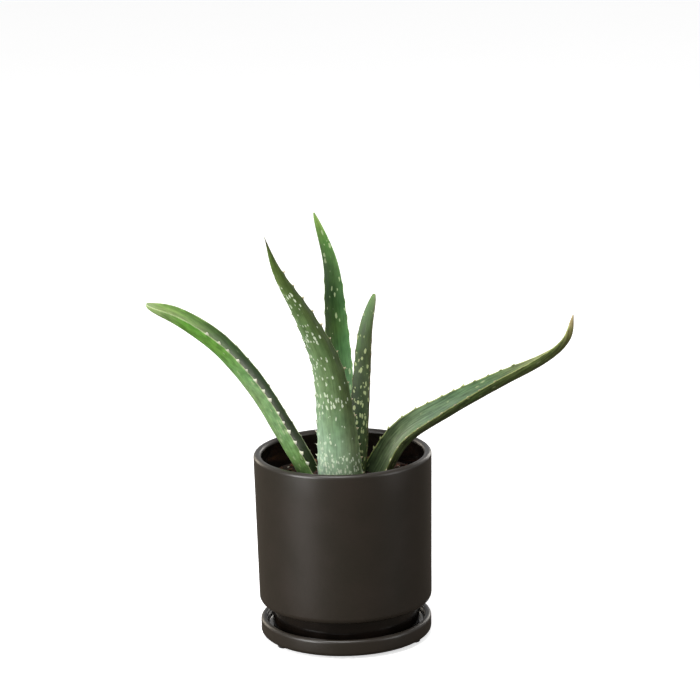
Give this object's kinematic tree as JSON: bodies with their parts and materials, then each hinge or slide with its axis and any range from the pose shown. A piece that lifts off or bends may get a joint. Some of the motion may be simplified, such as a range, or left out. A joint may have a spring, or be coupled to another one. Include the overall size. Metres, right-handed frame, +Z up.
{
  "type": "potted aloe plant",
  "caption": "Young aloe plant with long, spotted, fleshy leaves in a matte charcoal cylinder pot that stands on a matching footed saucer",
  "frame": {"origin": "on the surface that the plant stands on, under the middle of the whole plant's bounding box; the pot's axis is parallel to Z at x = -0.0145 m, y = 0", "axes": "+Z up; +X towards the tip of the long right leaf; -Y towards the front, where the front leaf leans; Y is the shortest extent"},
  "size_m": [0.3025, 0.13, 0.3112],
  "materials": {
    "charcoal_glaze": "matte charcoal glaze on the body and rims, glossy black inside the saucer and on the foot",
    "pad_rubber": "black rubber pad",
    "potting_mix": "coarse dark bark and peat mix with bits of perlite",
    "stem": "pale fibrous stem, buried",
    "leaf": "waxy grey-green skin with pale oval spots and small pale teeth"
  },
  "bodies": {
    "root": {"foot_pad_1": "pad_rubber", "foot_pad_2": "pad_rubber", "foot_pad_3": "pad_rubber", "saucer": "charcoal_glaze", "pot": "charcoal_glaze", "potting_mix": "potting_mix", "stem": "stem", "leaf_front": "leaf", "leaf_left": "leaf", "leaf_right": "leaf", "leaf_back": "leaf", "leaf_short": "leaf"}
  },
  "joints": []
}
